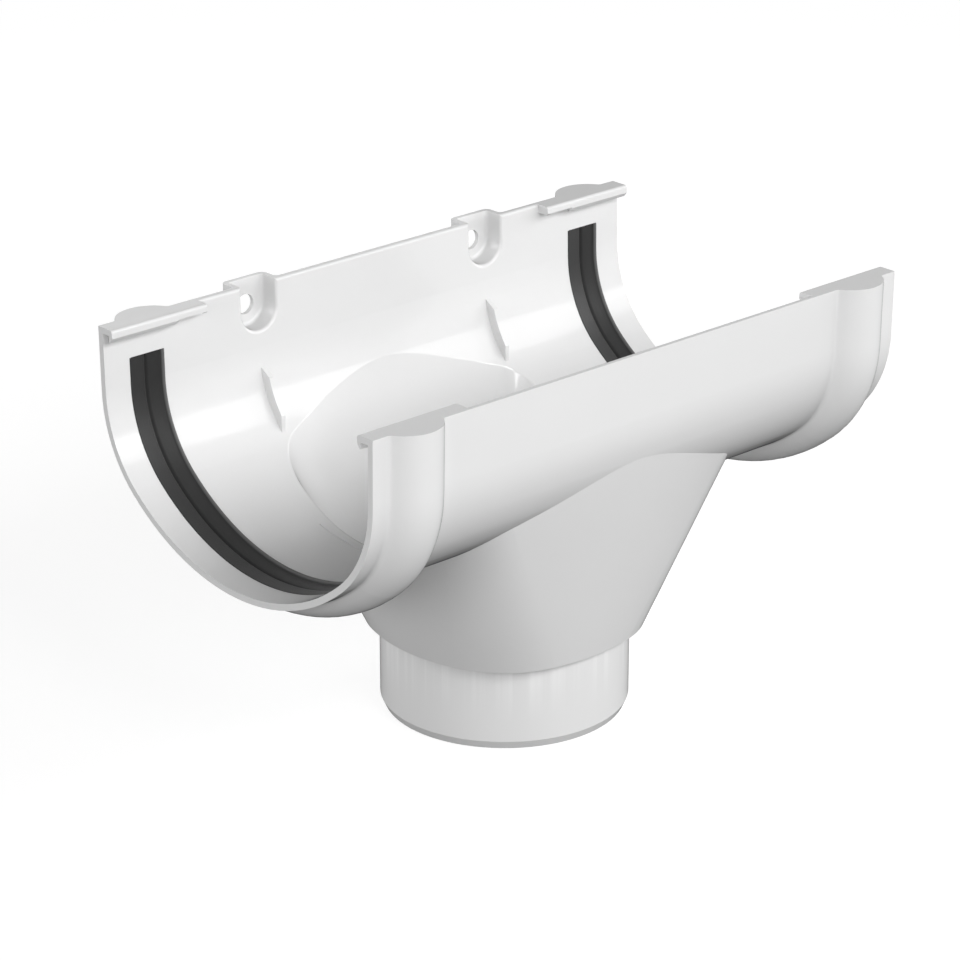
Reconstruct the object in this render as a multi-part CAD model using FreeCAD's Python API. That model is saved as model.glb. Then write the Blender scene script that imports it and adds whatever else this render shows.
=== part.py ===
import FreeCAD, Part
import math
import os

os.makedirs("parts", exist_ok=True)

# Gutter channel: a drafted U of straight legs over a bowl of tighter haunches and a wide crown
channel_length = 216.1
rim_half_width = 63.9
leg_draft = 0.92
leg_depth = 21.0
bowl_depth = 48.0
crown_flattening = 8.0
haunch_radius = bowl_depth - crown_flattening
wall = 2.1
rim_edge_radius = 1.0

# Heights above the lower rim of the spigot
rim_height = 135.6
funnel_foot_height = 28.8

# Spigot that enters the downpipe
spigot_radius = 40.0
spigot_wall = 2.2
lead_in_height = 2.8
lead_in_depth = 1.3

# Funnel: a rounded square foot flaring to a long rounded mouth under the channel
funnel_wall = 2.2
funnel_side_turn = 12.8
funnel_end_turn = 19.9
foot_ledge = 2.4
foot_squareness = 10.4
foot_half_width = spigot_radius + foot_ledge
foot_corner_radius = foot_half_width - foot_squareness
mouth_below_rim = 30.0
mouth_half_length = 74.5
mouth_side_setback = 1.9
mouth_half_width = rim_half_width - mouth_side_setback
mouth_corner_radius = 18.4
throat_floor = 2.2
throat_slope_height = 3.0
throat_edge_radius = 1.2

# Seal collars near both ends
collar_from_end = 16.25
collar_radius = 11.0
collar_rise = 6.25
collar_foot_radius = 1.6

# Rubber seals in their grooves
groove_half_width = 6.35
groove_top_below_rim = 12.1
seal_side_clearance = 0.1
seal_end_clearance = 0.1
seal_land_depth = 0.5
seal_valley_at = -0.4
seal_valley_half_width = 0.8
seal_valley_depth = 1.1
seal_lip_width = 0.5
seal_lip_slope = 0.8
seal_lip_rise = 0.1

# Snap hooks over the gutter rims, one at each corner
hook_length = 36.5
hook_overhang = 6.8
hook_reach = rim_half_width - hook_overhang
hook_thickness = 1.95
hook_corner_radius = 1.0
lip_thickness = 1.6
barb_length = 25.3
barb_nose_depth = 2.65
barb_tip_depth = 4.05
barb_tip_setback = 1.1
plain_lip_depth = 2.35
web_thickness = 1.5
web_depth = 2.85
web_setback = 0.6

# Screw pockets pushed out of the back wall
lug_spacing = 95.4
lug_half_width = 8.5
lug_projection = 6.5
lug_back = rim_half_width + lug_projection
lug_wall = 1.6
lug_corner_radius = 2.2
lug_root_radius = 1.5
pocket_corner_radius = 1.2
screw_hole_radius = 3.3
screw_below_rim = 8.7

# Blades that stop the gutter end
stop_thickness = 1.5
stop_height = 3.5
stop_top_below_rim = 25.4
stop_top_slope = 0.62
stop_foot_setback = 13.0
stop_foot_half_width = rim_half_width - stop_foot_setback

# Shallow line in the bottom of the channel that marks how far the gutter goes in
mark_from_end = 47.7
mark_half_length = 18.8
mark_width = 0.7
mark_depth = 0.25

# Depth to which joined shapes share volume, reach of cutting shapes, largest gap that counts as none
overlap = 0.6
beyond = 20.0
touching = 0.01


def vec(x, y, z):
    return FreeCAD.Vector(x, y, z)


ALONG = vec(1, 0, 0)
UPWARD = vec(0, 0, 1)
ORIGIN = vec(0, 0, 0)


def polygon(points):
    return Part.makePolygon(points + [points[0]])


def prism(points, length):
    """Bar along X over an outline in the plane across the gutter"""
    return Part.Face(polygon(points)).extrude(vec(length, 0, 0))


def box(x0, x1, y0, y1, z0, z1):
    return Part.makeBox(x1 - x0, y1 - y0, z1 - z0, vec(x0, y0, z0))


def moved(shape, x, y, z):
    copy = shape.copy()
    copy.translate(vec(x, y, z))
    return copy


def mirrored_y(shape):
    return shape.mirror(ORIGIN, vec(0, 1, 0))


def mirrored_x(shape):
    return shape.mirror(ORIGIN, ALONG)


def below(height, shape):
    span = channel_length
    return shape.common(box(-span, span, -span, span, -span, height))


def chain(points):
    return [Part.makeLine(a, b) for a, b in zip(points, points[1:])]


def flat_face(edges):
    return Part.Face(Part.Wire(Part.__sortEdges__(edges)))


def plan_arc(centre, radius, start, end):
    """Arc in the plane of its centre, from one plan angle to another, in degrees"""
    def at(angle):
        turn = math.radians(angle)
        return centre + vec(radius * math.cos(turn), radius * math.sin(turn), 0)
    return Part.Arc(at(start), at((start + end) / 2), at(end)).toShape()


# The U across the gutter
def haunch_start():
    draft = math.radians(leg_draft)
    return rim_half_width - leg_depth * math.tan(draft), rim_height - leg_depth


def haunch_centre():
    draft = math.radians(leg_draft)
    y, z = haunch_start()
    return y - haunch_radius * math.cos(draft), z + haunch_radius * math.sin(draft)


def crown_radius():
    """Radius at which the crown leaves both haunches smoothly and reaches the bottom of the bowl"""
    y, z = haunch_centre()
    depth = z - rim_height + leg_depth + bowl_depth
    return (y ** 2 + depth ** 2 - haunch_radius ** 2) / (2 * (depth - haunch_radius))


def crown_centre_height():
    return rim_height - leg_depth - bowl_depth + crown_radius()


def crown_turn():
    """Slope of the line through both arc centres, below the horizontal, in degrees"""
    y, z = haunch_centre()
    return math.degrees(math.atan2(crown_centre_height() - z, y))


def haunch_point(offset, below_level):
    y, z = haunch_centre()
    turn = math.radians(below_level)
    radius = haunch_radius + offset
    return vec(0, y + radius * math.cos(turn), z - radius * math.sin(turn))


def u_face(offset):
    """Area inside the U, its outer face moved outward by the offset"""
    turn = crown_turn()
    start = haunch_point(offset, leg_draft)
    joint = haunch_point(offset, turn)
    bottom = vec(0, 0, rim_height - leg_depth - bowl_depth - offset)
    rise = rim_height + beyond - start.z
    top = start + vec(0, rise * math.tan(math.radians(leg_draft)), rise)
    haunch = Part.Arc(start, haunch_point(offset, (leg_draft + turn) / 2), joint)
    right = [Part.makeLine(top, start), haunch.toShape()]
    crown = Part.Arc(joint, bottom, vec(0, -joint.y, joint.z)).toShape()
    lid = Part.makeLine(top, vec(0, -top.y, top.z))
    return flat_face(right + [mirrored_y(edge) for edge in right] + [crown, lid])


def u_bar(offset, x0, x1):
    return moved(u_face(offset), x0, 0, 0).extrude(vec(x1 - x0, 0, 0))


def u_band(outer, inner, x0, x1):
    return u_bar(outer, x0, x1).cut(u_bar(inner, x0, x1))


def stood(section, centre_y, centre_z, radius, turn):
    """Section drawn as x along the gutter and y outward, stood on an arc of the U"""
    standing = moved(section, 0, radius, 0)
    standing.rotate(ORIGIN, ALONG, -turn)
    return moved(standing, 0, centre_y, centre_z)


def swept(section):
    """Section carried down one leg, round the crown and up the other leg"""
    y, z = haunch_centre()
    crown_z = crown_centre_height()
    turn = crown_turn()
    draft = math.radians(leg_draft)
    foot = stood(section, y, z, haunch_radius, leg_draft)
    leg = foot.extrude(vec(0, math.sin(draft), math.cos(draft)) * (leg_depth + beyond))
    haunch = foot.revolve(vec(0, y, z), ALONG, leg_draft - turn)
    low = stood(section, 0, crown_z, crown_radius(), turn)
    crown = low.revolve(vec(0, 0, crown_z), ALONG, 2 * turn - 180)
    return crown.multiFuse([leg, haunch, mirrored_y(leg), mirrored_y(haunch)]).removeSplitter()


# Channel wall with its two collars
def collar_half_length():
    reach = collar_radius + collar_foot_radius
    drop = collar_foot_radius + collar_radius - collar_rise
    return math.sqrt(reach ** 2 - drop ** 2)


def collar_edges(centre_x):
    """Collar over the wall: a foot fillet, the bulge and the other foot fillet"""
    centre_n = collar_rise - collar_radius
    half = collar_half_length()
    lean = math.degrees(math.atan2(collar_foot_radius - centre_n, half))
    left = vec(centre_x - half, collar_foot_radius, 0)
    right = vec(centre_x + half, collar_foot_radius, 0)
    return [plan_arc(left, collar_foot_radius, -90, -lean),
            plan_arc(vec(centre_x, centre_n, 0), collar_radius, 180 - lean, lean),
            plan_arc(right, collar_foot_radius, 180 + lean, 270)]


def channel_section():
    end = channel_length / 2
    centre = end - collar_from_end
    half = collar_half_length()
    inside = -wall - overlap
    around = [vec(-centre - half, 0, 0), vec(-end, 0, 0), vec(-end, inside, 0),
              vec(end, inside, 0), vec(end, 0, 0), vec(centre + half, 0, 0)]
    between = [vec(half - centre, 0, 0), vec(centre - half, 0, 0)]
    return flat_face(chain(around) + chain(between) + collar_edges(-centre) + collar_edges(centre))


# Funnel
def oval(height, half_x, half_y, corner):
    """Bowed front, rounded corner and bowed end, each tangent to the next, then their turned copies.
    The arcs of all ovals meet at the same plan angles, so a loft between two ovals stays smooth."""
    lean = math.radians(funnel_side_turn)
    swing = math.radians(funnel_end_turn)
    rest_x = half_x - corner * (math.cos(swing) - math.sin(lean))
    rest_y = half_y - corner * (math.cos(lean) - math.sin(swing))
    share = (1 - math.cos(swing)) * (1 - math.cos(lean)) - math.sin(lean) * math.sin(swing)
    end = ((1 - math.cos(lean)) * rest_x - math.sin(lean) * rest_y) / share
    side = ((1 - math.cos(swing)) * rest_y - math.sin(swing) * rest_x) / share
    corner_x = half_x - end + (end - corner) * math.cos(swing)
    corner_y = (end - corner) * math.sin(swing)
    low = funnel_side_turn - 90
    half_round = [plan_arc(vec(0, side - half_y, height), side, -180 - low, low),
                  plan_arc(vec(corner_x, -corner_y, height), corner, low, -funnel_end_turn),
                  plan_arc(vec(half_x - end, 0, height), end, -funnel_end_turn, funnel_end_turn),
                  plan_arc(vec(corner_x, corner_y, height), corner, funnel_end_turn, -low)]
    other_half = [edge.copy() for edge in half_round]
    for edge in other_half:
        edge.rotate(ORIGIN, UPWARD, 180)
    return Part.Wire(half_round + other_half)


def funnel_outside():
    foot = oval(funnel_foot_height, foot_half_width, foot_half_width, foot_corner_radius)
    mouth = oval(rim_height - mouth_below_rim, mouth_half_length, mouth_half_width,
                 mouth_corner_radius)
    return Part.makeLoft([foot, mouth], True, True)


def funnel_inside():
    floor = funnel_foot_height + throat_floor
    bore = spigot_radius - spigot_wall
    seat = foot_half_width - funnel_wall
    throat = oval(floor - throat_slope_height, bore, bore, bore)
    foot = oval(floor, seat, seat, foot_corner_radius - funnel_wall)
    mouth = oval(rim_height - mouth_below_rim, mouth_half_length - funnel_wall,
                 mouth_half_width - funnel_wall, mouth_corner_radius - funnel_wall)
    return Part.makeLoft([throat, foot, mouth], True, True)


def spigot():
    bore = spigot_radius - spigot_wall
    top = funnel_foot_height + overlap
    outline = [vec(bore, 0, 0), vec(spigot_radius - lead_in_depth, 0, 0),
               vec(spigot_radius, 0, lead_in_height), vec(spigot_radius, 0, top), vec(bore, 0, top)]
    return Part.Face(polygon(outline)).revolve(ORIGIN, UPWARD, 360)


# Screw lugs
def lug_bar(half_width, start, end, corner_radius):
    """Bar along Y, half round below the screw and straight up past the rim, its far corners rounded"""
    screw = rim_height - screw_below_rim
    top = rim_height + beyond
    low = Part.Arc(vec(-half_width, start, screw), vec(0, start, screw - half_width),
                   vec(half_width, start, screw))
    sides = chain([vec(half_width, start, screw), vec(half_width, start, top),
                   vec(-half_width, start, top), vec(-half_width, start, screw)])
    bar = flat_face([low.toShape()] + sides).extrude(vec(0, end - start, 0))
    far = [edge for edge in bar.Edges
           if edge.BoundBox.YMin > end - touching and edge.BoundBox.ZMin < rim_height]
    return bar.makeFillet(corner_radius, far)


def at_lugs(shape):
    return [moved(shape, side * lug_spacing / 2, 0, 0) for side in (-1, 1)]


def lugs():
    start = haunch_start()[0] - wall / 2
    return at_lugs(below(rim_height, lug_bar(lug_half_width, start, lug_back, lug_corner_radius)))


def pockets():
    start = haunch_start()[0] - beyond
    end = lug_back - lug_wall
    return at_lugs(lug_bar(lug_half_width - lug_wall, start, end, pocket_corner_radius))


def screw_holes():
    start = haunch_start()[0]
    centre = vec(0, start, rim_height - screw_below_rim)
    hole = Part.makeCylinder(screw_hole_radius, lug_back - start + beyond, centre, vec(0, 1, 0))
    return at_lugs(hole)


# Edges that are rounded
def middle_of(edge):
    return edge.valueAt((edge.FirstParameter + edge.LastParameter) / 2)


def on_u(edge, offset):
    """Whether the middle of an edge lies on the U with this offset"""
    middle = middle_of(edge)
    outline = u_face(offset).OuterWire
    return Part.Vertex(vec(0, middle.y, middle.z)).distToShape(outline)[0] < touching


def beside_lug(edge, half_width):
    middle = middle_of(edge)
    across = abs(abs(middle.x) - lug_spacing / 2) < half_width + touching
    return across and middle.y > 0 and rim_height - leg_depth < middle.z


def lug_root_edges(shape):
    """Where the lugs rise out of the back wall"""
    return [edge for edge in shape.Edges
            if beside_lug(edge, lug_half_width) and edge.BoundBox.ZLength > touching and on_u(edge, 0)]


def throat_edges(shape):
    """Where the funnel leaves the inner face of the channel"""
    def in_reach(edge):
        middle = middle_of(edge)
        return abs(middle.x) < mouth_half_length and middle.z < rim_height - leg_depth
    return [edge for edge in shape.Edges if in_reach(edge) and on_u(edge, -wall)]


def mouth_edges(shape):
    """Where the screw pockets open through the back wall"""
    pocket = lug_half_width - lug_wall
    return [edge for edge in shape.Edges
            if beside_lug(edge, pocket) and edge.BoundBox.ZLength > touching and on_u(edge, -wall)]


def rim_edges(shape):
    """Upper inner edges along both walls"""
    def along_rim(edge):
        return edge.BoundBox.ZMin > rim_height - touching and edge.BoundBox.XLength > touching
    return [edge for edge in shape.Edges if along_rim(edge) and on_u(edge, -wall)]


def vessel():
    """Channel, lugs, funnel and spigot as one hollow"""
    end = channel_length / 2 + beyond
    shell = below(rim_height, swept(channel_section())).multiFuse(lugs())
    rooted = shell.makeFillet(lug_root_radius, lug_root_edges(shell))
    joined = rooted.multiFuse([funnel_outside(), spigot()])
    opened = joined.cut(u_bar(-wall, -end, end)).cut(funnel_inside())
    smooth = opened.makeFillet(throat_edge_radius, throat_edges(opened))
    pocketed = smooth.cut(pockets())
    return pocketed.makeFillet(rim_edge_radius, mouth_edges(pocketed) + rim_edges(pocketed))


# Seals and their grooves
def groove_side(inset):
    """Height over the outer wall face where the side of the groove meets its round roof"""
    reach = collar_radius - wall
    half = groove_half_width - inset
    return collar_rise - collar_radius + math.sqrt(reach ** 2 - half ** 2)


def roofed(points):
    """Section closed over its last and first points by the round roof of the groove"""
    roof = Part.Arc(points[-1], vec(0, collar_rise - wall, 0), points[0])
    return flat_face(chain(points) + [roof.toShape()])


def groove_section():
    half = groove_half_width
    side = groove_side(0)
    inside = -wall - overlap
    return roofed([vec(half, side, 0), vec(half, inside, 0), vec(-half, inside, 0), vec(-half, side, 0)])


def seal_section():
    """Rubber strip with a V valley and a lip along its edge towards +X"""
    half = groove_half_width - seal_side_clearance
    side = groove_side(seal_side_clearance)
    lip = -wall - seal_lip_rise
    land = -wall + seal_land_depth
    lip_x = half - seal_lip_width
    valley_start = seal_valley_at - seal_valley_half_width
    valley_end = seal_valley_at + seal_valley_half_width
    return roofed([vec(half, side, 0), vec(half, lip, 0), vec(lip_x, lip, 0),
                   vec(lip_x - seal_lip_slope, land, 0), vec(valley_end, land, 0),
                   vec(seal_valley_at, land + seal_valley_depth, 0), vec(valley_start, land, 0),
                   vec(-half, land, 0), vec(-half, side, 0)])


def at_collar(shape, side):
    return moved(shape, side * (channel_length / 2 - collar_from_end), 0, 0)


def groove():
    return below(rim_height - groove_top_below_rim, swept(groove_section()))


def seal():
    return below(rim_height - groove_top_below_rim - seal_end_clearance, swept(seal_section()))


# Hooks, stop blades and mark line
def rim_point(y, below_rim):
    return vec(0, y, rim_height - below_rim)


def hook():
    """Hook on the back wall: a barbed lip, a plain lip and an end web, starting at x = 0"""
    root = rim_half_width - wall / 2
    back = hook_reach + lip_thickness
    tip = hook_reach + barb_tip_setback
    top = [rim_point(root, 0), rim_point(hook_reach, 0)]
    under = [rim_point(back, hook_thickness), rim_point(root, hook_thickness)]
    barb = [rim_point(hook_reach, barb_nose_depth), rim_point(tip, barb_tip_depth),
            rim_point(back, barb_tip_depth)]
    lip = [rim_point(hook_reach, plain_lip_depth), rim_point(back, plain_lip_depth)]
    web = [rim_point(hook_reach, plain_lip_depth), rim_point(hook_reach + web_setback, web_depth),
           rim_point(root, web_depth)]
    end_web = moved(prism(top + web, web_thickness), hook_length - web_thickness, 0, 0)
    shape = prism(top + barb + under, barb_length)
    shape = shape.multiFuse([prism(top + lip + under, hook_length), end_web]).removeSplitter()
    corner = [edge for edge in shape.Edges if edge.BoundBox.YMax < hook_reach + touching
              and edge.BoundBox.ZMin > rim_height - touching]
    return shape.makeFillet(hook_corner_radius, corner)


def hooks():
    back_left = moved(hook(), -channel_length / 2, 0, 0)
    left = [back_left, mirrored_y(back_left)]
    return left + [mirrored_x(shape) for shape in left]


def stop_blades():
    """Blades on both inner walls, their tops sloping away and their feet cut upright"""
    half = stop_thickness / 2
    band = u_band(-wall + overlap, -wall - stop_height, -half, half)
    top = rim_height - stop_top_below_rim
    slope_drop = (rim_half_width - stop_foot_half_width) * stop_top_slope
    outline = [vec(-half, rim_half_width, 0), vec(-half, rim_half_width, top),
               vec(-half, stop_foot_half_width, top - slope_drop), vec(-half, stop_foot_half_width, 0)]
    back = at_lugs(band.common(prism(outline, stop_thickness)))
    return back + [mirrored_y(blade) for blade in back]


def mark_line():
    start = mark_from_end - (channel_length + mark_width) / 2
    reach = mark_half_length
    middle = box(-channel_length, 0, -reach, reach, 0, rim_height - mouth_below_rim)
    return u_band(mark_depth - wall, -wall - overlap, start, start + mark_width).common(middle)


def outlet_body():
    body = vessel().multiFuse(stop_blades() + hooks())
    cuts = [at_collar(groove(), -1), at_collar(groove(), 1), mark_line()]
    return body.cut(cuts + screw_holes()).removeSplitter()


outlet_body().exportStep("parts/outlet_body.step")
at_collar(seal(), -1).exportStep("parts/seal_left.step")
at_collar(seal(), 1).exportStep("parts/seal_right.step")
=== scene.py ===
import bpy
import math
from mathutils import Matrix, Vector


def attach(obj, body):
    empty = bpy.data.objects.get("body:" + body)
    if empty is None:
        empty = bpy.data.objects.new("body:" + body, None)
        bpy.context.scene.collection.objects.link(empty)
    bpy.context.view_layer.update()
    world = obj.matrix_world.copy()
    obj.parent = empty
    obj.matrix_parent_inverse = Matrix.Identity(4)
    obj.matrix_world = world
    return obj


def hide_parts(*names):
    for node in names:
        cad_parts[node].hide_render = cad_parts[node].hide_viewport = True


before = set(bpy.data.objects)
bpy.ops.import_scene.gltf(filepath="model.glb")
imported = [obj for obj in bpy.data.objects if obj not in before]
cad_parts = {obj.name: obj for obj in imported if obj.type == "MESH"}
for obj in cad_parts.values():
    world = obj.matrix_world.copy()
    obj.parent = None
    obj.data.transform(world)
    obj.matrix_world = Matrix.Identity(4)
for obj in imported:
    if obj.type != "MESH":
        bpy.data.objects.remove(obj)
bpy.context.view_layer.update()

# Heights on the outlet, in metres
OVERALL_HEIGHT = 0.1356
SPIGOT_TOP = 0.0288
MARK_AND_STREAK_END = 0.007

# Whites of the moulded PVC and blacks of the rubber, as linear levels, with a lighter colour for
# painted reflection streaks on the spigot and a paler colour for a painted highlight on the seal's lip
PVC_WHITE = 0.87
PVC_PATCH = 0.84
PVC_PAINTED_STREAK = 0.95
PVC_CLEAR_SKIN = 0.94
RUBBER_BLACK = 0.036
RUBBER_PATCH = 0.030
RUBBER_LIP_PAINTED_HIGHLIGHT = 0.14

# Draw marks on the spigot, painted lighter as reflection streaks over their real relief: how many go
# round the spigot, and how much of their noise shows
MARK_AND_STREAK_SCALE = 13.0
MARK_AND_STREAK_FAINT = 0.48
MARK_AND_STREAK_CLEAR = 0.72

# Inner face of the channel, in metres: upright legs, tight haunches and a wide crown
LEG_DRAFT = 0.92
HAUNCH_MIDDLE = (0.023568, 0.115242)
HAUNCH_RADIUS = 0.0379
CROWN_HEIGHT = 0.143057
CROWN_RADIUS = 0.074357
CROWN_TURN = 49.725

# Seals: their place along the gutter and the height of their ends in metres, and their section in
# millimetres, first across the groove and then into the channel wall
SEAL_PLACES = {"seal_left": -0.0918, "seal_right": 0.0918}
SEAL_TOP = 0.1234
SEAL_STEPS = 24
SEAL_FOLD_DEGREES = 40.0
SEAL_SECTION = (
    (6.25, 3.65), (4.4, 4.95), (2.3, 5.85), (0.0, 6.2), (-2.3, 5.85), (-4.4, 4.95), (-6.25, 3.65),
    (-6.25, -0.02), (-6.8, -0.02), (-6.8, -0.1), (-6.6, -0.16), (-6.3, -0.1), (-6.0, 0.05),
    (-1.6, 0.1), (-1.35, 0.18), (-1.1, 0.5), (-0.85, 1.15), (-0.65, 1.45), (-0.2, 1.5), (0.1, 1.25),
    (0.4, 0.85), (0.7, 0.66), (4.2, 0.66), (4.6, 0.62), (4.9, 0.52), (5.15, 0.3), (5.3, -0.05),
    (5.5, -0.35), (5.75, -0.5), (6.0, -0.5), (6.2, -0.3), (6.25, 0.0),
)
MM_IN_METRE = 1000
# Across the groove, in metres, where the painted highlight on the lip begins and where it is full
SEAL_LIP_START = 0.00515
SEAL_LIP_FULL = 0.0054

# Viewpoint: angles in degrees, lengths in metres, the aim point is the middle of the rims
VIEW_TURN = -42.014
VIEW_HEIGHT = 22.247
VIEW_ROLL = -0.084
VIEW_DISTANCE = 1.10226
AIM_RIGHT = -0.00765
AIM_UP = -0.05622
LENS_MM = 133.93
SENSOR_MM = 36.0

# Floor: the eye sees white, with the outlet's shadow out to the near distance and none past the far
# one, and what bounces up to the outlet is grey. Lengths in metres
FLOOR_HALF = 6.0
FLOOR_BOUNCE = 0.2
FLOOR_PAPER = 0.8
SHADOW_SHARE = 0.4
SHADOW_MAKE_UP = 0.29
SHADOW_NEAR = 0.3
SHADOW_FAR = 0.9
ROOM_LIGHT = 0.02
WHITE = 1.0

# Softboxes: compass angle from +X and height angle in degrees, distance and side in metres, watts
SOFTBOXES = {
    "front": (-100, 33, 1.5, 0.6, 7.9),
    "front_right": (-68, 33, 1.5, 0.6, 6.3),
    "left": (-130, 20, 1.5, 0.5, 5.4),
    "far_left": (-165, 14, 1.5, 0.5, 3.8),
    "low_right": (-30, 14, 1.5, 0.5, 3.6),
    "far_right": (-9, 14, 1.5, 0.5, 5.2),
    "side_right": (-46, 29, 1.5, 0.6, 2.6),
    "edge_right": (22, 12, 1.5, 0.25, 0.9),
    "back": (104, 12, 1.8, 0.9, 15.5),
    "back_left": (140, 16, 1.8, 0.7, 4.4),
    "back_right": (60, 12, 1.8, 0.7, 6.2),
}


# Node helpers. A Mix node's colour sockets share their names with its others, so they go by number
MIX_COLOUR_INPUTS = (0, 6, 7)
MIX_COLOUR_OUTPUT = 2


def add(tree, kind, place, **settings):
    node = tree.nodes.new(kind)
    node.location = place
    for name, value in settings.items():
        setattr(node, name, value)
    return node


def fill(node, **values):
    """Sets input sockets by name, with an underscore for each space"""
    for name, value in values.items():
        node.inputs[name.replace("_", " ")].default_value = value
    return node


def new_material(name):
    material = bpy.data.materials.new(name)
    material.use_nodes = True
    material.node_tree.nodes.clear()
    return material


def grey(level):
    return (level, level, level, 1.0)


# Finishes
def moulded_skin():
    """Slow patches and fine grain of a moulded surface, with sizes given as marks in a metre"""
    tree = bpy.data.node_groups.new("moulded_skin", "ShaderNodeTree")
    for name in ("Patch Scale", "Grain Scale"):
        tree.interface.new_socket(name, in_out="INPUT", socket_type="NodeSocketFloat")
    for name in ("Patches", "Grain"):
        tree.interface.new_socket(name, in_out="OUTPUT", socket_type="NodeSocketFloat")
    given = add(tree, "NodeGroupInput", (-600, 0))
    place = add(tree, "ShaderNodeTexCoord", (-600, -200))
    patches = fill(add(tree, "ShaderNodeTexNoise", (-300, 100)), Detail=2.0, Roughness=0.5)
    grain = fill(add(tree, "ShaderNodeTexNoise", (-300, -200)), Detail=3.0, Roughness=0.6)
    result = add(tree, "NodeGroupOutput", (0, 0))
    link = tree.links.new
    link(place.outputs["Object"], patches.inputs["Vector"])
    link(place.outputs["Object"], grain.inputs["Vector"])
    link(given.outputs["Patch Scale"], patches.inputs["Scale"])
    link(given.outputs["Grain Scale"], grain.inputs["Scale"])
    link(patches.outputs["Fac"], result.inputs["Patches"])
    link(grain.outputs["Fac"], result.inputs["Grain"])
    return tree


def skin_surface(tree, skin, patch_scale, grain_scale, smoothest, roughest):
    """Places the skin and the Principled shader, with roughness that drifts with the patches"""
    link = tree.links.new
    surface = add(tree, "ShaderNodeGroup", (-900, 0), node_tree=skin)
    fill(surface, Patch_Scale=patch_scale, Grain_Scale=grain_scale)
    gloss = fill(add(tree, "ShaderNodeMapRange", (-400, -50)), To_Min=smoothest, To_Max=roughest)
    shader = add(tree, "ShaderNodeBsdfPrincipled", (0, 0))
    result = add(tree, "ShaderNodeOutputMaterial", (300, 0))
    link(surface.outputs["Patches"], gloss.inputs["Value"])
    link(gloss.outputs["Result"], shader.inputs["Roughness"])
    link(shader.outputs["BSDF"], result.inputs["Surface"])
    return surface, shader


def blend_colour(tree, place, factor, first, second):
    """Mixes two colours, each a value or another node's output"""
    mix = add(tree, "ShaderNodeMix", place, data_type="RGBA")
    factor_in, first_in, second_in = (mix.inputs[number] for number in MIX_COLOUR_INPUTS)
    tree.links.new(factor, factor_in)
    for socket, colour in ((first_in, first), (second_in, second)):
        if isinstance(colour, tuple):
            socket.default_value = colour
        else:
            tree.links.new(colour, socket)
    return mix.outputs[MIX_COLOUR_OUTPUT]


def bump(tree, place, height, strength, depth, under=None):
    """Raises the surface by a mask, on top of the bump that is under it, with the depth in metres"""
    node = fill(add(tree, "ShaderNodeBump", place), Strength=strength, Distance=depth)
    tree.links.new(height, node.inputs["Height"])
    if under:
        tree.links.new(under, node.inputs["Normal"])
    return node.outputs["Normal"]


def draw_marks_and_painted_streaks(tree):
    """Faint upright draw marks on the spigot, strongest under the funnel, where it slid off its core;
    the same mask paints lighter streaks there as a painted reflection
    """
    link = tree.links.new
    place = add(tree, "ShaderNodeTexCoord", (-1900, -500))
    flat = add(tree, "ShaderNodeVectorMath", (-1700, -500), operation="MULTIPLY")
    flat.inputs[1].default_value = (1.0, 1.0, 0.0)
    around = add(tree, "ShaderNodeVectorMath", (-1500, -500), operation="NORMALIZE")
    stripes = fill(add(tree, "ShaderNodeTexNoise", (-1300, -500)),
                   Scale=MARK_AND_STREAK_SCALE, Detail=2.0, Roughness=0.45)
    sharp = fill(add(tree, "ShaderNodeMapRange", (-1100, -500)),
                 From_Min=MARK_AND_STREAK_FAINT, From_Max=MARK_AND_STREAK_CLEAR)
    parts = add(tree, "ShaderNodeSeparateXYZ", (-1700, -750))
    fading = fill(add(tree, "ShaderNodeMapRange", (-1300, -750), interpolation_type="SMOOTHSTEP"),
                  From_Min=MARK_AND_STREAK_END, From_Max=SPIGOT_TOP)
    below = add(tree, "ShaderNodeMath", (-1300, -1000), operation="LESS_THAN")
    below.inputs[1].default_value = SPIGOT_TOP
    on_spigot = add(tree, "ShaderNodeMath", (-1100, -850), operation="MULTIPLY")
    marks = add(tree, "ShaderNodeMath", (-900, -650), operation="MULTIPLY")
    link(place.outputs["Object"], flat.inputs[0])
    link(flat.outputs["Vector"], around.inputs[0])
    link(around.outputs["Vector"], stripes.inputs["Vector"])
    link(stripes.outputs["Fac"], sharp.inputs["Value"])
    link(place.outputs["Object"], parts.inputs["Vector"])
    link(parts.outputs["Z"], fading.inputs["Value"])
    link(parts.outputs["Z"], below.inputs[0])
    link(fading.outputs["Result"], on_spigot.inputs[0])
    link(below.outputs["Value"], on_spigot.inputs[1])
    link(sharp.outputs["Result"], marks.inputs[0])
    link(on_spigot.outputs["Value"], marks.inputs[1])
    return marks.outputs["Value"]


def white_pvc(skin):
    """Polished white: a thin clear skin dims it where it turns away, and mirrors the lamps a little;
    on the spigot, lighter painted reflection streaks lie over the draw marks' relief
    """
    material = new_material("white_pvc")
    tree = material.node_tree
    surface, shader = skin_surface(tree, skin, patch_scale=25.0, grain_scale=600.0,
                                   smoothest=0.08, roughest=0.11)
    fill(shader, Metallic=0.05, Specular_IOR_Level=0.0, Coat_Weight=1.0, Coat_Roughness=0.05,
         Coat_IOR=1.0, Coat_Tint=grey(PVC_CLEAR_SKIN))
    marks = draw_marks_and_painted_streaks(tree)
    patches, grain = surface.outputs["Patches"], surface.outputs["Grain"]
    patched = blend_colour(tree, (-600, 300), patches, grey(PVC_WHITE), grey(PVC_PATCH))
    # The draw marks are painted lighter here, as painted reflection streaks on the spigot
    colour = blend_colour(tree, (-300, 300), marks, patched, grey(PVC_PAINTED_STREAK))
    grained = bump(tree, (-500, -350), grain, strength=0.03, depth=0.0002)
    marked = bump(tree, (-250, -350), marks, strength=0.3, depth=0.00004, under=grained)
    tree.links.new(colour, shader.inputs["Base Color"])
    tree.links.new(marked, shader.inputs["Normal"])
    return material


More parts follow.
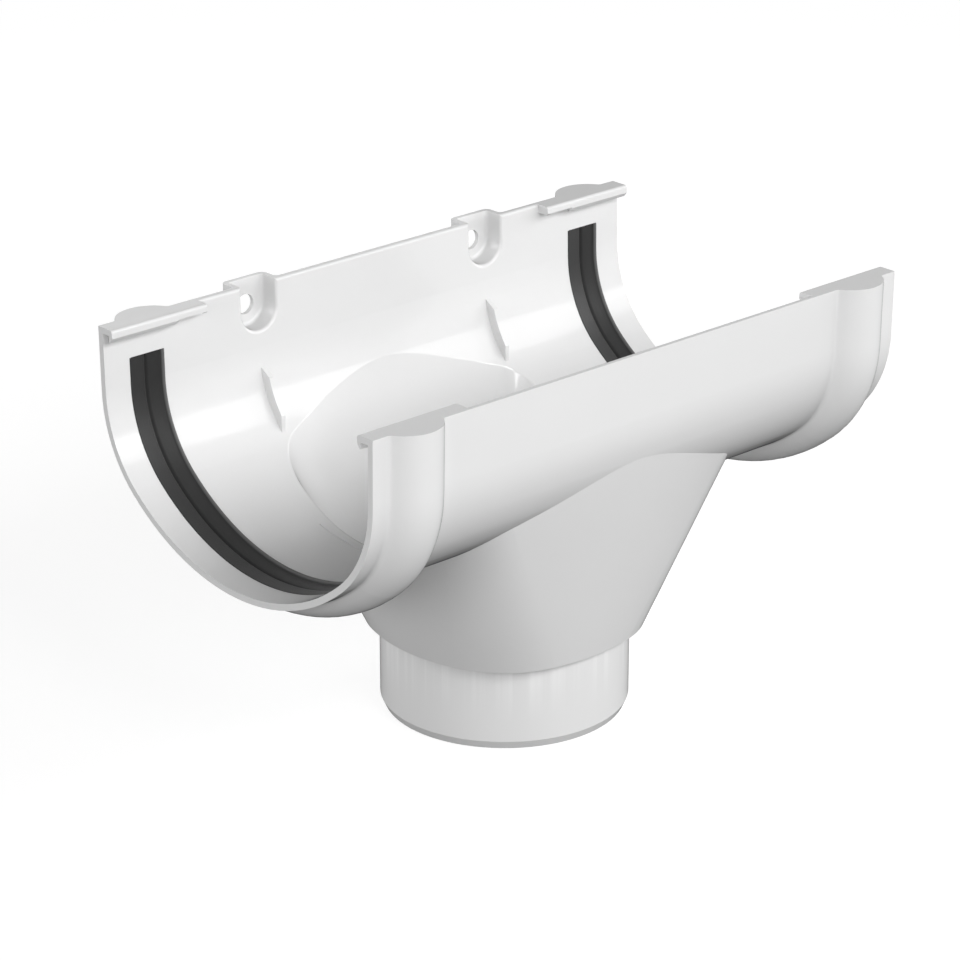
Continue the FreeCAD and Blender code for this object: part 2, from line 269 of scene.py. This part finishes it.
def black_rubber(skin):
    """Dull black with a fine grain, and a painted highlight that makes the lip paler"""
    material = new_material("black_rubber")
    tree = material.node_tree
    surface, shader = skin_surface(tree, skin, patch_scale=60.0, grain_scale=2500.0,
                                   smoothest=0.38, roughest=0.5)
    fill(shader, Specular_IOR_Level=0.13)
    lip = add(tree, "ShaderNodeAttribute", (-600, 500), attribute_name="lip")
    patches, grain = surface.outputs["Patches"], surface.outputs["Grain"]
    strip = blend_colour(tree, (-400, 300), patches, grey(RUBBER_BLACK), grey(RUBBER_PATCH))
    # The lip is painted paler here, as a painted highlight on its rounded crest
    colour = blend_colour(tree, (-200, 400), lip.outputs["Fac"], strip, grey(RUBBER_LIP_PAINTED_HIGHLIGHT))
    grained = bump(tree, (-400, -350), grain, strength=0.25, depth=0.0002)
    tree.links.new(colour, shader.inputs["Base Color"])
    tree.links.new(grained, shader.inputs["Normal"])
    return material


def dress(node_name, finish):
    """Gives a finish to a moulded piece"""
    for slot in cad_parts[node_name].material_slots:
        slot.material = finish


# Rubber seals
def channel_line():
    """Points down one inner wall of the channel, round its bottom and up the other wall"""
    bottom_turn = 90.0

    def around(middle_y, middle_z, radius, degrees):
        turn = math.radians(degrees)
        return middle_y + radius * math.cos(turn), middle_z - radius * math.sin(turn)

    def turns(start, end):
        return [start + (end - start) * step / SEAL_STEPS for step in range(SEAL_STEPS)]

    leg_y, leg_z = around(*HAUNCH_MIDDLE, HAUNCH_RADIUS, LEG_DRAFT)
    top_y = leg_y + (SEAL_TOP - leg_z) * math.tan(math.radians(LEG_DRAFT))
    haunch = [around(*HAUNCH_MIDDLE, HAUNCH_RADIUS, turn) for turn in turns(LEG_DRAFT, CROWN_TURN)]
    crown = [around(0, CROWN_HEIGHT, CROWN_RADIUS, turn) for turn in turns(CROWN_TURN, bottom_turn)]
    half = [(top_y, SEAL_TOP)] + haunch + crown
    bottom = (0, CROWN_HEIGHT - CROWN_RADIUS)
    return [(-y, z) for y, z in half] + [bottom] + half[::-1]


def line_object(name, points, closed):
    """A line of straight runs, open or closed"""
    curve = bpy.data.curves.new(name, "CURVE")
    curve.dimensions = "3D"
    spline = curve.splines.new("POLY")
    spline.points.add(len(points) - 1)
    for point, place in zip(spline.points, points):
        point.co = (*place, 1.0)
    spline.use_cyclic_u = closed
    made = bpy.data.objects.new(name, curve)
    bpy.context.scene.collection.objects.link(made)
    return made


def seal_maker():
    """Carries the seal's section along the channel line, and marks its lip for the finish's painted
    highlight
    """
    tree = bpy.data.node_groups.new("seal_maker", "GeometryNodeTree")
    for name, kind in (("Line", "Object"), ("Section", "Object"), ("Along Gutter", "Float"),
                       ("Lip Start", "Float"), ("Lip Full", "Float"), ("Finish", "Material")):
        tree.interface.new_socket(name, in_out="INPUT", socket_type="NodeSocket" + kind)
    tree.interface.new_socket("Geometry", in_out="OUTPUT", socket_type="NodeSocketGeometry")
    link = tree.links.new
    given = add(tree, "NodeGroupInput", (-1000, 0))
    line = add(tree, "GeometryNodeObjectInfo", (-700, 200))
    upright = add(tree, "GeometryNodeSetCurveNormal", (-450, 200), mode="Z_UP")
    section = add(tree, "GeometryNodeObjectInfo", (-700, -100))
    place = add(tree, "GeometryNodeInputPosition", (-1000, -400))
    parts = add(tree, "ShaderNodeSeparateXYZ", (-800, -400))
    lip = add(tree, "ShaderNodeMapRange", (-600, -400))
    marked = add(tree, "GeometryNodeStoreNamedAttribute", (-400, -100), data_type="FLOAT")
    fill(marked, Name="lip")
    strip = fill(add(tree, "GeometryNodeCurveToMesh", (-150, 100)), Fill_Caps=True)
    spot = add(tree, "ShaderNodeCombineXYZ", (-150, -250))
    placed = add(tree, "GeometryNodeTransform", (50, 100))
    real = add(tree, "GeometryNodeRealizeInstances", (250, 100))
    finished = add(tree, "GeometryNodeSetMaterial", (450, 100))
    result = add(tree, "NodeGroupOutput", (650, 100))
    link(given.outputs["Line"], line.inputs["Object"])
    link(line.outputs["Geometry"], upright.inputs["Curve"])
    link(upright.outputs["Curve"], strip.inputs["Curve"])
    link(given.outputs["Section"], section.inputs["Object"])
    link(section.outputs["Geometry"], marked.inputs["Geometry"])
    link(place.outputs["Position"], parts.inputs["Vector"])
    link(parts.outputs["X"], lip.inputs["Value"])
    link(given.outputs["Lip Start"], lip.inputs["From Min"])
    link(given.outputs["Lip Full"], lip.inputs["From Max"])
    link(lip.outputs["Result"], marked.inputs["Value"])
    link(marked.outputs["Geometry"], strip.inputs["Profile Curve"])
    link(strip.outputs["Mesh"], placed.inputs["Geometry"])
    link(given.outputs["Along Gutter"], spot.inputs["X"])
    link(spot.outputs["Vector"], placed.inputs["Translation"])
    link(placed.outputs["Geometry"], real.inputs["Geometry"])
    link(real.outputs["Geometry"], finished.inputs["Geometry"])
    link(given.outputs["Finish"], finished.inputs["Material"])
    link(finished.outputs["Geometry"], result.inputs["Geometry"])
    return tree


def rubber_seals(finish):
    """Lays a seal in each groove, in place of its plain strip"""
    line = line_object("channel_line", [(0, y, z) for y, z in channel_line()], closed=False)
    outline = [(across / MM_IN_METRE, depth / MM_IN_METRE, 0) for across, depth in SEAL_SECTION]
    section = line_object("seal_section", outline, closed=True)
    maker = seal_maker()
    for node_name, along in SEAL_PLACES.items():
        given = {"Line": line, "Section": section, "Along Gutter": along, "Finish": finish,
                 "Lip Start": SEAL_LIP_START, "Lip Full": SEAL_LIP_FULL}
        piece = bpy.data.objects.new("rubber_" + node_name, bpy.data.meshes.new("blank"))
        bpy.context.scene.collection.objects.link(piece)
        modifier = piece.modifiers.new("seal_maker", "NODES")
        modifier.node_group = maker
        for socket in maker.interface.items_tree:
            if socket.in_out == "INPUT":
                modifier[socket.identifier] = given[socket.name]
        shaped = piece.evaluated_get(bpy.context.evaluated_depsgraph_get())
        mesh = bpy.data.meshes.new_from_object(shaped)
        piece.modifiers.remove(modifier)
        piece.data = mesh
        mesh.name = piece.name
        mesh.shade_smooth()
        mesh.set_sharp_from_angle(angle=math.radians(SEAL_FOLD_DEGREES))
        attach(piece, "root")
        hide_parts(node_name)
    bpy.data.objects.remove(line)
    bpy.data.objects.remove(section)


# Studio
def seen_directly(tree, place):
    """1 for what the eye, a reflection or glass sees of a background, and 0 for its light on things"""
    x, y = place
    rays = add(tree, "ShaderNodeLightPath", (x - 400, y))
    either = add(tree, "ShaderNodeMath", (x - 200, y), operation="MAXIMUM")
    any_of_three = add(tree, "ShaderNodeMath", place, operation="MAXIMUM")
    tree.links.new(rays.outputs["Is Camera Ray"], either.inputs[0])
    tree.links.new(rays.outputs["Is Glossy Ray"], either.inputs[1])
    tree.links.new(either.outputs["Value"], any_of_three.inputs[0])
    tree.links.new(rays.outputs["Is Transmission Ray"], any_of_three.inputs[1])
    return any_of_three.outputs["Value"]


def scaled(tree, place, value, factor, extra):
    """The value times the factor, plus the extra"""
    node = add(tree, "ShaderNodeMath", place, operation="MULTIPLY_ADD")
    tree.links.new(value, node.inputs[0])
    node.inputs[1].default_value = factor
    node.inputs[2].default_value = extra
    return node.outputs["Value"]


def floor_paper():
    """White to the eye, and round the outlet a share of real paper takes its shadow"""
    material = new_material("floor_paper")
    tree = material.node_tree
    link = tree.links.new
    seen = seen_directly(tree, (-600, 400))
    place = add(tree, "ShaderNodeTexCoord", (-1200, 0))
    away = add(tree, "ShaderNodeVectorMath", (-1000, 0), operation="LENGTH")
    near = fill(add(tree, "ShaderNodeMapRange", (-800, 0), interpolation_type="SMOOTHSTEP"),
                From_Min=SHADOW_FAR, From_Max=SHADOW_NEAR)
    link(place.outputs["Object"], away.inputs[0])
    link(away.outputs["Value"], near.inputs["Value"])
    white_share = scaled(tree, (-600, 150), near.outputs["Result"], factor=-SHADOW_SHARE, extra=1.0)
    white_level = scaled(tree, (-600, -50), near.outputs["Result"], factor=SHADOW_MAKE_UP, extra=WHITE)
    glow_share = add(tree, "ShaderNodeMath", (-400, 250), operation="MULTIPLY")
    paper = add(tree, "ShaderNodeBsdfDiffuse", (-200, 0))
    glow = add(tree, "ShaderNodeEmission", (-200, -150))
    both = add(tree, "ShaderNodeMixShader", (0, 0))
    result = add(tree, "ShaderNodeOutputMaterial", (200, 0))
    link(seen, glow_share.inputs[0])
    link(white_share, glow_share.inputs[1])
    paper_colour = blend_colour(tree, (-400, 0), seen, grey(FLOOR_BOUNCE), grey(FLOOR_PAPER))
    link(paper_colour, paper.inputs["Color"])
    link(white_level, glow.inputs["Strength"])
    link(glow_share.outputs["Value"], both.inputs["Fac"])
    link(paper.outputs["BSDF"], both.inputs[1])
    link(glow.outputs["Emission"], both.inputs[2])
    link(both.outputs["Shader"], result.inputs["Surface"])
    return material


def floor():
    corners = [(x * FLOOR_HALF, y * FLOOR_HALF, 0.0) for x, y in ((-1, -1), (1, -1), (1, 1), (-1, 1))]
    mesh = bpy.data.meshes.new("floor")
    mesh.from_pydata(corners, [], [(0, 1, 2, 3)])
    mesh.materials.append(floor_paper())
    made = bpy.data.objects.new("floor", mesh)
    bpy.context.scene.collection.objects.link(made)


def room():
    """A dim room, which the eye and reflections see as plain white"""
    world = bpy.data.worlds.new("studio")
    world.use_nodes = True
    bpy.context.scene.world = world
    tree = world.node_tree
    tree.nodes.clear()
    link = tree.links.new
    dim = fill(add(tree, "ShaderNodeBackground", (-200, 0)), Color=grey(WHITE), Strength=ROOM_LIGHT)
    white = fill(add(tree, "ShaderNodeBackground", (-200, -150)), Color=grey(WHITE), Strength=1.0)
    both = add(tree, "ShaderNodeMixShader", (0, 0))
    result = add(tree, "ShaderNodeOutputWorld", (200, 0))
    link(seen_directly(tree, (-200, 300)), both.inputs["Fac"])
    link(dim.outputs["Background"], both.inputs[1])
    link(white.outputs["Background"], both.inputs[2])
    link(both.outputs["Shader"], result.inputs["Surface"])


def softbox(name, compass, height, distance, side, watts):
    """A square lamp that faces the outlet's middle"""
    turn, rise = math.radians(compass), math.radians(height)
    away = Vector((math.cos(turn) * math.cos(rise), math.sin(turn) * math.cos(rise), math.sin(rise)))
    lamp = bpy.data.lights.new(name, "AREA")
    lamp.shape = "SQUARE"
    lamp.size = side
    lamp.energy = watts
    made = bpy.data.objects.new(name, lamp)
    made.location = Vector((0, 0, OVERALL_HEIGHT / 2)) + away * distance
    made.rotation_euler = away.to_track_quat("Z", "Y").to_euler()
    bpy.context.scene.collection.objects.link(made)


def camera():
    """Looks down across the front left corner of the channel"""
    turn, tilt = math.radians(VIEW_TURN), math.radians(VIEW_HEIGHT)
    back = Vector((math.sin(turn) * math.cos(tilt), -math.cos(turn) * math.cos(tilt), math.sin(tilt)))
    level = Vector((math.cos(turn), math.sin(turn), 0.0))
    right = Matrix.Rotation(math.radians(VIEW_ROLL), 3, back) @ level
    up = back.cross(right)
    lens = bpy.data.cameras.new("camera")
    lens.lens = LENS_MM
    lens.sensor_width = SENSOR_MM
    spot = Vector((0, 0, OVERALL_HEIGHT)) + back * VIEW_DISTANCE + right * AIM_RIGHT + up * AIM_UP
    made = bpy.data.objects.new("camera", lens)
    made.matrix_world = Matrix.Translation(spot) @ Matrix((right, up, back)).transposed().to_4x4()
    bpy.context.scene.collection.objects.link(made)
    bpy.context.scene.camera = made


skin = moulded_skin()
dress("outlet_body", white_pvc(skin))
rubber_seals(black_rubber(skin))

floor()
room()
for name, numbers in SOFTBOXES.items():
    softbox(name, *numbers)
camera()
bpy.context.scene.view_settings.view_transform = "Standard"
